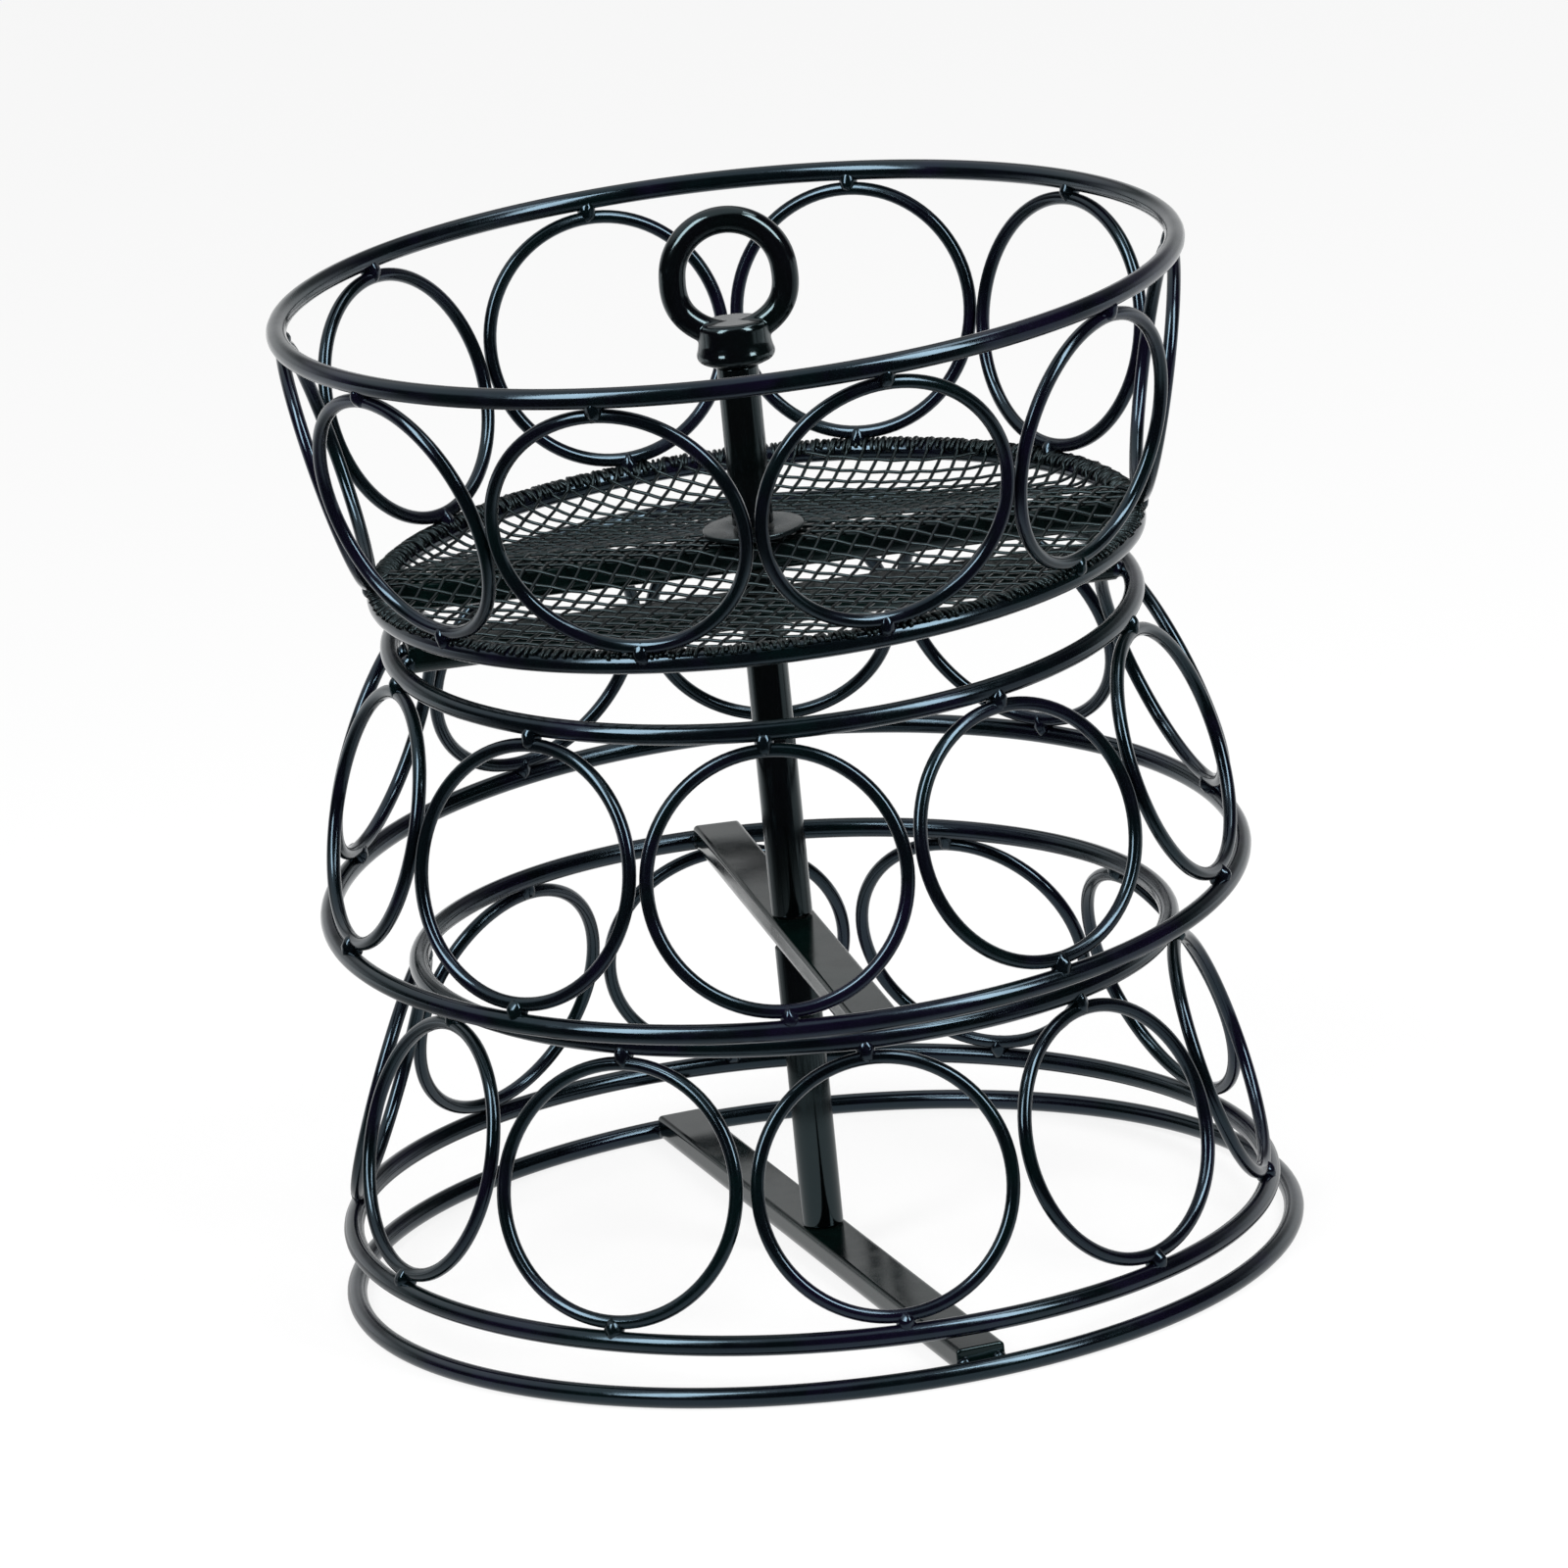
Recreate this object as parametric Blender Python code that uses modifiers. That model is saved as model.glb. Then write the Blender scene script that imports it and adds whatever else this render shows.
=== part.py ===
"""Three-tier revolving wire holder for coffee pods, in metres, +Z up, front towards -Y.

A round floor ring with a cross bar carries one central rod. Two tapered tiers of pod
circles and a flared top basket with a mesh floor are threaded on the rod, each by a cross
bar, with tubes between them that set the heights. A cast ring handle screws on at the top.
"""
import math

import bmesh
import bpy
from mathutils import Matrix, Vector

# Wires
RING_WIRE = 0.0041
CIRCLE_WIRE = 0.0028
FIT_GAP = 0.0003

# Pod circles
POD_BORE = 0.048
CIRCLES_PER_TIER = 10

# Floor ring and heights, measured between the centre lines of the rings
BASE_RING_RADIUS = 0.0965
LOWER_TIER_LIFT = 0.0105
MIDDLE_TIER_LIFT = 0.0118
BASKET_LIFT = 0.0125

# Tier shapes: side gap between neighbouring circles, and the slope of their planes
LOWER_SIDE_GAP = 0.0016
MIDDLE_SIDE_GAP = 0.0009
BASKET_SIDE_GAP = 0.0005
TIER_SLOPE = math.radians(17.6)
BASKET_SLOPE = math.radians(-13.2)

# Cross bars
BAR_WIDTH = 0.0100
BAR_HEIGHT = 0.0060
BAR_CORNER = 0.0014
BASE_BAR_AZIMUTH = math.radians(-72.4)
LOWER_BAR_AZIMUTH = math.radians(-78.9)
MIDDLE_BAR_AZIMUTH = math.radians(8.0)
BASKET_BAR_AZIMUTH = math.radians(1.3)

# How far each tier sits off level: rocked about its own bar, and tilted along the bar
LOWER_LEAN = math.radians(-1.5)
MIDDLE_LEAN = math.radians(4.0)
BASKET_LEAN = math.radians(1.6)
LOWER_TILT = math.radians(1.2)
MIDDLE_TILT = math.radians(0.0)
BASKET_TILT = math.radians(-0.8)

# Azimuth of the first circle of each tier, measured from its bar
LOWER_CIRCLE_START = math.radians(-1.8)
MIDDLE_CIRCLE_START = math.radians(8.7)
BASKET_CIRCLE_START = math.radians(-1.1)

# Central post
ROD_DIAMETER = 0.0050
ROD_HEAD_DIAMETER = 0.0072
ROD_HEAD_HEIGHT = 0.0022
ROD_HEAD_RECESS = 0.0005
TUBE_DIAMETER = 0.0084
TUBE_BORE = 0.0058
BAR_HOLE_CLEARANCE = 0.0005
UPPER_TUBE_LENGTH = 0.03255

# Washer over the mesh
WASHER_DIAMETER = 0.0205
WASHER_THICKNESS = 0.0010

# Mesh floor of the basket: a coarse diamond net, sized across the corners of its cells
NET_CELL_LENGTH = 0.01556
NET_CELL_WIDTH = 0.00996
NET_WIRE = 0.0012

# Its form: flat over the bar, sagging on either side, lowest between two shares of the way
# from there to the ring
NET_SEAT_HALF_WIDTH = 0.0058
BACK_SAG = 0.0079
BACK_TROUGH = (0.68, 0.72)
FRONT_SAG = 0.0062
FRONT_TROUGH = (0.30, 0.72)

# Ring handle
EYE_RADIUS = 0.0112
EYE_WIRE = 0.0055
COLLAR_DIAMETER = 0.0155
COLLAR_HEIGHT = 0.0052
NECK_DIAMETER = 0.0138
BOSS_TOP_DIAMETER = 0.0108
BOSS_HEIGHT = 0.0100
EYE_SINK = 0.0029

# Mesh fineness
RING_SEGMENTS = 40
CIRCLE_SEGMENTS = 20
WIRE_SIDES = 6
TURNED_STEPS = 20
WIRE_FLAT = math.cos(math.pi / WIRE_SIDES)

# Derived sizes
CIRCLE_RADIUS = (POD_BORE + CIRCLE_WIRE) / 2
HALF_PITCH = math.pi / CIRCLES_PER_TIER
SLANT = 2 * (CIRCLE_RADIUS + CIRCLE_WIRE / 2 + FIT_GAP + RING_WIRE / 2)


def circle_centre_radius(side_gap):
    """Distance of the circle centres from the post that leaves side_gap between neighbours."""
    half_clear = (CIRCLE_WIRE + side_gap) / 2
    return (CIRCLE_RADIUS * math.cos(HALF_PITCH) + half_clear) / math.sin(HALF_PITCH)


def new_collection(name):
    collection = bpy.data.collections.new(name)
    bpy.context.scene.collection.children.link(collection)
    return collection


def clear_scene():
    for obj in list(bpy.data.objects):
        bpy.data.objects.remove(obj)


def make_material(name, colour, roughness, metallic):
    material = bpy.data.materials.new(name)
    material.use_nodes = True
    shader = material.node_tree.nodes["Principled BSDF"]
    shader.inputs["Base Color"].default_value = (*colour, 1.0)
    shader.inputs["Roughness"].default_value = roughness
    shader.inputs["Metallic"].default_value = metallic
    return material


def link_only(obj, collection):
    for owner in list(obj.users_collection):
        owner.objects.unlink(obj)
    collection.objects.link(obj)


def finish_part(obj, name, finish, parent=None):
    """Name a part, file it, give it its own material and hang it on its parent."""
    obj.name = name
    obj.data.name = name
    link_only(obj, PARTS)
    colour, roughness, metallic = finish
    obj.data.materials.clear()
    obj.data.materials.append(make_material(name + "_finish", colour, roughness, metallic))
    obj.parent = parent
    return obj


def new_mesh_object(name, bm):
    bmesh.ops.recalc_face_normals(bm, faces=bm.faces)
    mesh = bpy.data.meshes.new(name)
    bm.to_mesh(mesh)
    bm.free()
    obj = bpy.data.objects.new(name, mesh)
    PARTS.objects.link(obj)
    return obj


def shade_round(obj, angle=math.radians(50)):
    obj.data.shade_smooth()
    obj.data.set_sharp_from_angle(angle=angle)


def torus(major_radius, wire, segments, sides):
    """A closed wire hoop lying flat, centred on its own origin."""
    bpy.ops.mesh.primitive_torus_add(
        major_segments=segments,
        minor_segments=sides,
        major_radius=major_radius,
        minor_radius=wire / 2,
    )
    obj = bpy.context.active_object
    shade_round(obj, math.radians(80))
    return obj


def turned(name, profile, steps=TURNED_STEPS):
    """A solid or pipe turned about Z from a profile that runs down its outer side."""
    bm = bmesh.new()
    verts = [bm.verts.new((radius, 0.0, height)) for radius, height in profile]
    closed = profile[0][0] > 0 and profile[-1][0] > 0
    pairs = list(zip(verts, verts[1:]))
    if closed:
        pairs.append((verts[-1], verts[0]))
    for first, second in pairs:
        bm.edges.new((first, second))
    mesh = bpy.data.meshes.new(name)
    bm.to_mesh(mesh)
    bm.free()
    obj = bpy.data.objects.new(name, mesh)
    PARTS.objects.link(obj)
    screw = obj.modifiers.new("turn", "SCREW")
    screw.steps = steps
    screw.render_steps = steps
    screw.use_merge_vertices = True
    screw.merge_threshold = 0.00001
    screw.use_smooth_shade = True
    return obj


def pipe_profile(outer_diameter, bore, bottom, top):
    outer = outer_diameter / 2
    inner = bore / 2
    return [(outer, top), (outer, bottom), (inner, bottom), (inner, top)]


def freeze(obj):
    """Replace an object's modifiers with their result."""
    depsgraph = bpy.context.evaluated_depsgraph_get()
    mesh = bpy.data.meshes.new_from_object(obj.evaluated_get(depsgraph))
    obj.modifiers.clear()
    obj.data = mesh
    return obj


def boolean(target, tool, operation):
    """Join or cut target with tool, apply it and remove the tool."""
    modifier = target.modifiers.new(operation.lower(), "BOOLEAN")
    modifier.operation = operation
    modifier.object = tool
    bpy.context.view_layer.update()
    freeze(target)
    bpy.data.objects.remove(tool)
    return target


def cylinder_cutter(radius, bottom, top):
    bm = bmesh.new()
    bmesh.ops.create_cone(
        bm,
        cap_ends=True,
        segments=TURNED_STEPS,
        radius1=radius,
        radius2=radius,
        depth=top - bottom,
        matrix=Matrix.Translation((0, 0, (top + bottom) / 2)),
    )
    obj = new_mesh_object("hole_cutter", bm)
    link_only(obj, CUTTERS)
    obj.hide_render = True
    obj.display_type = "WIRE"
    return obj


def bar_outline():
    """Section of a bar with rounded edges, centred on the origin."""
    points = []
    corner_points = 3
    for quarter in range(4):
        side_x = 1 if quarter in (0, 3) else -1
        side_y = 1 if quarter in (0, 1) else -1
        centre_x = side_x * (BAR_WIDTH / 2 - BAR_CORNER)
        centre_y = side_y * (BAR_HEIGHT / 2 - BAR_CORNER)
        for step in range(corner_points):
            angle = math.pi / 2 * (quarter + step / (corner_points - 1))
            x = centre_x + BAR_CORNER * math.cos(angle)
            y = centre_y + BAR_CORNER * math.sin(angle)
            points.append((x, y))
    return points


def cross_bar(length):
    """A bar along local X with its middle at the origin."""
    curve = bpy.data.curves.new("bar", "CURVE")
    curve.dimensions = "2D"
    curve.fill_mode = "BOTH"
    curve.extrude = length / 2
    outline = bar_outline()
    spline = curve.splines.new("POLY")
    spline.points.add(len(outline) - 1)
    for point, (x, y) in zip(spline.points, outline):
        point.co = (x, y, 0.0, 1.0)
    spline.use_cyclic_u = True
    guide = bpy.data.objects.new("bar_guide", curve)
    PARTS.objects.link(guide)
    bpy.context.view_layer.update()
    depsgraph = bpy.context.evaluated_depsgraph_get()
    mesh = bpy.data.meshes.new_from_object(guide.evaluated_get(depsgraph))
    bm = bmesh.new()
    bm.from_mesh(mesh)
    bmesh.ops.remove_doubles(bm, verts=bm.verts, dist=0.00001)
    # The curve lies in its own XY plane and is extruded along Z, so it is turned to lie along X
    turn = Matrix(((0, 0, 1, 0), (1, 0, 0, 0), (0, 1, 0, 0), (0, 0, 0, 1)))
    bmesh.ops.transform(bm, matrix=turn, verts=bm.verts)
    bpy.data.objects.remove(guide)
    bpy.data.meshes.remove(mesh)
    return new_mesh_object("bar", bm)


def bar_length(ring_radius):
    """Longest bar whose square ends stay FIT_GAP inside a ring's wire."""
    reach = ring_radius * math.cos(math.pi / RING_SEGMENTS) - RING_WIRE / 2 - FIT_GAP
    return 2 * math.sqrt(reach**2 - (BAR_WIDTH / 2) ** 2)


def bar_hole_radius(tier):
    """The rod's hole in a bar, wide enough for the bar to sit off level on it."""
    return ROD_DIAMETER / 2 + BAR_HOLE_CLEARANCE + BAR_HEIGHT / 2 * math.sin(tier.off_level)


def seat_gap(tier):
    """Vertical gap at the post axis that keeps a leaning bar FIT_GAP off a tube's end."""
    return FIT_GAP + TUBE_DIAMETER / 2 * math.sin(tier.off_level)


class Tier:
    """Sizes of one revolving tier, worked out from its circles."""

    def __init__(
        self, name, side_gap, slope, lean, tilt, bar_azimuth, circle_start, bottom_height
    ):
        self.name = name
        self.slope = slope
        self.lean = lean
        self.tilt = tilt
        self.off_level = math.hypot(lean, tilt)
        self.bar_azimuth = bar_azimuth
        self.circle_start = circle_start
        self.rise = SLANT * math.cos(slope)
        self.centre_radius = circle_centre_radius(side_gap)
        self.bottom_radius = self.centre_radius + SLANT / 2 * math.sin(slope)
        self.top_radius = self.centre_radius - SLANT / 2 * math.sin(slope)
        self.bottom_height = bottom_height
        self.top_height = bottom_height + self.rise
        self.is_basket = slope < 0
        half_step = (BAR_HEIGHT - RING_WIRE) / 2
        if self.is_basket:
            self.bar_ring_radius = self.bottom_radius
            self.bar_height = self.bottom_height
        else:
            self.bar_ring_radius = self.top_radius
            self.bar_height = self.top_height + half_step
        self.bar_underside = self.bar_height - BAR_HEIGHT / 2
        self.bar_top = self.bar_height + BAR_HEIGHT / 2


BLACK_WIRE = ((0.010, 0.011, 0.013), 0.16, 0.0)
BLACK_BAR = ((0.016, 0.018, 0.018), 0.22, 0.0)
BLACK_POST = ((0.009, 0.010, 0.010), 0.24, 0.0)
BLACK_MESH = ((0.012, 0.013, 0.014), 0.30, 0.0)
BLACK_CAST = ((0.008, 0.009, 0.011), 0.14, 0.0)
ZINC = ((0.30, 0.30, 0.29), 0.38, 1.0)


def make_base():
    ring = torus(BASE_RING_RADIUS, RING_WIRE, RING_SEGMENTS, WIRE_SIDES)
    ring.location.z = RING_WIRE / 2 * WIRE_FLAT
    ring.rotation_euler.z = BASE_BAR_AZIMUTH
    finish_part(ring, "base_ring", BLACK_WIRE)
    bar = cross_bar(bar_length(BASE_RING_RADIUS))
    head_room = ROD_HEAD_RECESS + ROD_HEAD_HEIGHT + FIT_GAP - BAR_HEIGHT / 2
    head_hole = ROD_HEAD_DIAMETER / 2 + FIT_GAP
    rod_hole = ROD_DIAMETER / 2 + FIT_GAP
    boolean(bar, cylinder_cutter(rod_hole, -BAR_HEIGHT, BAR_HEIGHT), "DIFFERENCE")
    boolean(bar, cylinder_cutter(head_hole, -BAR_HEIGHT, head_room), "DIFFERENCE")
    bar.location.z = BAR_HEIGHT / 2
    bar.rotation_euler.z = BASE_BAR_AZIMUTH
    finish_part(bar, "base_bar", BLACK_BAR)


def tier_empty(tier):
    """The point on the post about which a tier turns and leans."""
    empty = bpy.data.objects.new(tier.name + "_axis", None)
    PARTS.objects.link(empty)
    empty.location.z = tier.bar_height
    empty.rotation_euler = (tier.lean, tier.tilt, tier.bar_azimuth)
    return empty


def hoop(tier, parent, name, radius, height):
    ring = torus(radius, RING_WIRE, RING_SEGMENTS, WIRE_SIDES)
    ring.location.z = height - tier.bar_height
    ring.rotation_euler.z = tier.circle_start
    return finish_part(ring, name, BLACK_WIRE, parent)


def pod_circle(tier, parent, index, shared_mesh):
    """One pod circle, standing in its tier's sloping wall."""
    azimuth = tier.circle_start + 2 * HALF_PITCH * index
    middle = (tier.bottom_height + tier.top_height) / 2 - tier.bar_height
    outward = Vector((math.cos(azimuth), math.sin(azimuth), 0.0))
    tangent = Vector((-math.sin(azimuth), math.cos(azimuth), 0.0))
    upward = Vector((0.0, 0.0, math.cos(tier.slope))) - outward * math.sin(tier.slope)
    normal = tangent.cross(upward)
    obj = bpy.data.objects.new("circle", shared_mesh.copy())
    turn = Matrix((tangent, upward, normal)).transposed().to_4x4()
    obj.matrix_local = Matrix.Translation(outward * tier.centre_radius + Vector((0, 0, middle))) @ turn
    return finish_part(obj, f"{tier.name}_circle_{index + 1:02d}", BLACK_WIRE, parent)


def tier_bar(tier, parent):
    bar = cross_bar(bar_length(tier.bar_ring_radius))
    boolean(bar, cylinder_cutter(bar_hole_radius(tier), -BAR_HEIGHT, BAR_HEIGHT), "DIFFERENCE")
    return finish_part(bar, tier.name + "_bar", BLACK_BAR, parent)


def make_tier(tier, bottom_name, top_name):
    parent = tier_empty(tier)
    hoop(tier, parent, bottom_name, tier.bottom_radius, tier.bottom_height)
    hoop(tier, parent, top_name, tier.top_radius, tier.top_height)
    tier_bar(tier, parent)
    pattern = torus(CIRCLE_RADIUS, CIRCLE_WIRE, CIRCLE_SEGMENTS, WIRE_SIDES)
    for index in range(CIRCLES_PER_TIER):
        pod_circle(tier, parent, index, pattern.data)
    bpy.data.objects.remove(pattern)
    return parent


def net_height():
    """Middle of the net above the tier's own origin where it lies on the bar."""
    return BAR_HEIGHT / 2 + FIT_GAP + NET_WIRE / 2


def net_sag(x, y, rim):
    """How far the net lies below its level over the bar, at a point along and across the bar."""
    if abs(y) <= NET_SEAT_HALF_WIDTH:
        return 0.0
    full_room = rim - NET_SEAT_HALF_WIDTH
    room = math.sqrt(max(rim**2 - x**2, 0.0)) - NET_SEAT_HALF_WIDTH
    share = min((abs(y) - NET_SEAT_HALF_WIDTH) / max(room, NET_WIRE), 1.0)
    sag = BACK_SAG if y > 0 else FRONT_SAG
    start, end = BACK_TROUGH if y > 0 else FRONT_TROUGH
    if share < start:
        depth = 1 - (1 - share / start) ** 2
    else:
        depth = 1 - (max(share - end, 0.0) / (1 - end)) ** 2
    rim_drop = (BAR_HEIGHT - RING_WIRE) / 2
    return rim_drop * share + sag * max(room, 0.0) / full_room * depth


def make_net(tier, parent):
    """The basket's floor: a sagging diamond net drawn as a grid and turned into wires."""
    rim = tier.bottom_radius - CIRCLE_WIRE / 2 - FIT_GAP
    half_count = math.ceil(rim * math.hypot(1 / NET_CELL_LENGTH, 1 / NET_CELL_WIDTH))
    count = 2 * half_count + 1
    bm = bmesh.new()
    bmesh.ops.create_grid(bm, x_segments=count, y_segments=count, size=count / 2)
    for vert in bm.verts:
        along, across = vert.co.x + vert.co.y, vert.co.x - vert.co.y
        vert.co.x = along * NET_CELL_LENGTH / 2
        vert.co.y = across * NET_CELL_WIDTH / 2
    outside = [face for face in bm.faces if max(vert.co.length for vert in face.verts) > rim]
    bmesh.ops.delete(bm, geom=outside, context="FACES")
    for vert in bm.verts:
        if vert.is_boundary:
            vert.co *= rim / vert.co.length
    for vert in bm.verts:
        vert.co.z = -net_sag(vert.co.x, vert.co.y, rim)
    net = new_mesh_object("net", bm)
    wires = net.modifiers.new("wires", "WIREFRAME")
    wires.thickness = NET_WIRE
    wires.use_boundary = True
    wires.use_even_offset = False
    wires.use_replace = True
    net.location.z = net_height()
    return finish_part(net, "basket_mesh", BLACK_MESH, parent)


def make_washer(tier, parent):
    bottom = net_height() + NET_WIRE / 2 + FIT_GAP
    bore = 2 * bar_hole_radius(tier)
    washer = turned("washer", pipe_profile(WASHER_DIAMETER, bore, bottom, bottom + WASHER_THICKNESS))
    finish_part(washer, "mesh_washer", ZINC, parent)
    return tier.bar_height + bottom + WASHER_THICKNESS


def make_tube(name, bottom, top):
    tube = turned(name, pipe_profile(TUBE_DIAMETER, TUBE_BORE, bottom, top))
    finish_part(tube, name, BLACK_POST)


def make_rod(top):
    head = ROD_HEAD_DIAMETER / 2
    shank = ROD_DIAMETER / 2
    underside = ROD_HEAD_RECESS
    profile = [
        (0.0, top),
        (shank, top),
        (shank, underside + ROD_HEAD_HEIGHT),
        (head, underside + ROD_HEAD_HEIGHT),
        (head, underside),
        (0.0, underside),
    ]
    finish_part(turned("rod", profile), "central_rod", ZINC)


def make_handle(bottom, rod_top):
    """Cast ring handle: a collar and boss with a blind hole for the rod, and the ring."""
    collar = COLLAR_DIAMETER / 2
    edge = COLLAR_HEIGHT / 4
    neck = NECK_DIAMETER / 2
    boss_top = BOSS_TOP_DIAMETER / 2
    hole = ROD_DIAMETER / 2 + FIT_GAP
    top = bottom + BOSS_HEIGHT
    profile = [
        (0.0, top),
        (boss_top, top),
        (neck, bottom + COLLAR_HEIGHT + edge),
        (neck, bottom + COLLAR_HEIGHT),
        (collar - edge, bottom + COLLAR_HEIGHT),
        (collar, bottom + COLLAR_HEIGHT - edge),
        (collar, bottom + edge),
        (collar - edge, bottom),
        (hole, bottom),
        (hole, rod_top + FIT_GAP),
        (0.0, rod_top + FIT_GAP),
    ]
    handle = freeze(turned("handle", profile))
    eye = torus(EYE_RADIUS, EYE_WIRE, CIRCLE_SEGMENTS + 4, WIRE_SIDES + 2)
    eye.rotation_euler.x = math.pi / 2
    eye.location.z = top - EYE_SINK + EYE_RADIUS
    bpy.context.view_layer.update()
    boolean(handle, eye, "UNION")
    shade_round(handle)
    finish_part(handle, "ring_handle", BLACK_CAST)


def build():
    lower = Tier(
        "lower_tier", LOWER_SIDE_GAP, TIER_SLOPE, LOWER_LEAN, LOWER_TILT,
        LOWER_BAR_AZIMUTH, LOWER_CIRCLE_START, RING_WIRE / 2 + LOWER_TIER_LIFT,
    )
    middle = Tier(
        "middle_tier", MIDDLE_SIDE_GAP, TIER_SLOPE, MIDDLE_LEAN, MIDDLE_TILT,
        MIDDLE_BAR_AZIMUTH, MIDDLE_CIRCLE_START, lower.top_height + MIDDLE_TIER_LIFT,
    )
    basket = Tier(
        "basket", BASKET_SIDE_GAP, BASKET_SLOPE, BASKET_LEAN, BASKET_TILT,
        BASKET_BAR_AZIMUTH, BASKET_CIRCLE_START, middle.top_height + BASKET_LIFT,
    )
    make_base()
    make_tier(lower, "lower_tier_bottom_ring", "lower_tier_top_ring")
    make_tier(middle, "middle_tier_bottom_ring", "middle_tier_top_ring")
    basket_axis = make_tier(basket, "basket_bottom_ring", "basket_rim")
    make_net(basket, basket_axis)
    washer_top = make_washer(basket, basket_axis)

    make_tube("lower_tube", BAR_HEIGHT + FIT_GAP, lower.bar_underside - seat_gap(lower))
    make_tube(
        "middle_tube",
        lower.bar_top + seat_gap(lower),
        middle.bar_underside - seat_gap(middle),
    )
    make_tube(
        "short_spacer",
        middle.bar_top + seat_gap(middle),
        basket.bar_underside - seat_gap(basket),
    )
    upper_bottom = washer_top + seat_gap(basket)
    handle_bottom = upper_bottom + UPPER_TUBE_LENGTH + FIT_GAP
    make_tube("upper_tube", upper_bottom, upper_bottom + UPPER_TUBE_LENGTH)
    rod_top = handle_bottom + BOSS_HEIGHT - EYE_SINK - EYE_WIRE / 2 - 2 * FIT_GAP
    make_rod(rod_top)
    make_handle(handle_bottom, rod_top)


clear_scene()
PARTS = new_collection("coffee_pod_basket")
CUTTERS = new_collection("cutters")
build()
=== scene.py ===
"""Dressed scene of a revolving wire holder for coffee pods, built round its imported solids.

Every wire, bar and tube takes its place and size from the solid that it stands for. Round
smooth wires, weld beads, a woven mesh floor and a cast handle replace the faceted solids.
"""
import math
import random

import bmesh
import bpy
import numpy as np
from mathutils import Matrix, Vector, noise


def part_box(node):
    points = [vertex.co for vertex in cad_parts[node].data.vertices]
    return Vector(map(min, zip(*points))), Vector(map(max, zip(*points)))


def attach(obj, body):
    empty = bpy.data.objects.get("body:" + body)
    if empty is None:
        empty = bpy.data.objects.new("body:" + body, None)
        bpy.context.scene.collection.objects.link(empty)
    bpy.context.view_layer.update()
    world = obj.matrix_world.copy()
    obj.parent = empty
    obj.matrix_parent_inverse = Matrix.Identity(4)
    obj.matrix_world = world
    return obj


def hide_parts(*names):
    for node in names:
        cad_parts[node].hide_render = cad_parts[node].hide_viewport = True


# Camera matched to the photograph
CAMERA_LENS = 212.55
CAMERA_SENSOR = 36.0
CAMERA_DISTANCE = 1.87466
CAMERA_ELEVATION = math.radians(14.78)
CAMERA_ROLL = math.radians(-5.71)
CAMERA_TARGET = Vector((0.000971, 0.0, 0.099543))

# Wires
RING_WIRE = 0.0041
CIRCLE_WIRE = 0.0028
RING_SEGMENTS = 200
CIRCLE_SEGMENTS = 96
RING_SIDES = 20
CIRCLE_SIDES = 16
FLAT_RELIEF = 0.0001

# Cross bars
BAR_WIDTH = 0.0100
BAR_HEIGHT = 0.0060
BAR_TOP_CORNER = 0.0009
BAR_BOTTOM_CORNER = 0.0026
BAR_END_ROUND = 0.0005
CORNER_STEPS = 6
CORNER_MARGIN = 0.12
BAR_END_STEPS = 3
BAR_END_INNER = 1.6
HOLE_RADIUS = 0.0033
HOLE_SIDES = 32
SHARP_EDGE = math.radians(40)

# Turned pieces
TURNED_SEGMENTS = 64
TUBE_WALL = 0.0012
EDGE_ROUND = 0.0003

# Woven mesh floor: heights are above the ring's centre plane, troughs are shares of the way
# from the bar to the ring
NET_PITCH = 0.0036
NET_STRAND = 0.00074
NET_TURN = math.radians(-26)
NET_SIDES = 6
NET_SEED = 11
NET_WANDER = 0.00005
NET_EDGE_MARGIN = 0.0005
NET_WEAVE = 0.00012
NET_SEAT_HALF_WIDTH = 0.0058
NET_SEAT_HEIGHT = 0.00355
NET_RIM_HEIGHT = 0.0006
BACK_SAG = 0.0061
BACK_TROUGH = (0.68, 0.72)
FRONT_SAG = 0.0048
FRONT_TROUGH = (0.30, 0.72)
HEM_REACH = RING_WIRE / 2 + NET_STRAND / 2 - 0.0001
HEM_START = math.radians(165)
HEM_START_OVER_BAR = math.radians(95)
HEM_END = math.radians(52)
HEM_END_SPREAD = (-0.20, 0.15)
HEM_STEPS = 7
HEM_ROUGHNESS = 0.02

# Where the fold changes over the bar, and how far a slanting strand runs on along the ring
OVER_BAR_HALF_WIDTH = BAR_WIDTH * 0.6
OVER_BAR_FADE = 0.009
STRAND_DRIFT = 0.6
MOST_DRIFT = 0.8
LEAST_RADIAL = 0.3
BURR_SHARE = 0.02
BURR_LENGTH = (0.0003, 0.0007)
TAIL_LIFT = 0.3

# Bindings: short strands round the ring that fill the fold, angles in radians
HEM_BINDINGS = 400
BINDING_STAGGER = 0.25
BINDING_SLANT = (0.003, 0.014)
BINDING_START = (2.5, 3.1)
BINDING_END = (0.55, 0.90)
BINDING_LIFT = 0.00015

# Ring handle
EYE_RADIUS = 0.0112
EYE_WIRE = 0.0055
EYE_SINK = 0.0019
COLLAR_RADIUS = 0.00795
COLLAR_ROUND = 0.0017
COLLAR_LEVEL = 0.0023
NECK_RADIUS = 0.0073
SHOULDER_ROUND = 0.0015
FOOT_RADIUS = 0.0052
BOSS_HEIGHT = 0.0090
ROD_HOLE_RADIUS = 0.0028
EYE_FOOT_DROP = 0.0009
EYE_DROP_LEVEL = 0.1
EYE_DROP_SPAN = 0.8
NECK_FLARE = 0.0001
NECK_TOP_SHARE = 0.6
NECK_FOOT_SHARE = 0.5
COLLAR_ARC = (32, -70)
CAST_SEGMENTS = 180
CAST_SIDES = 60
CAST_VOXEL = 0.00022
CAST_SMOOTHING = 16

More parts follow.
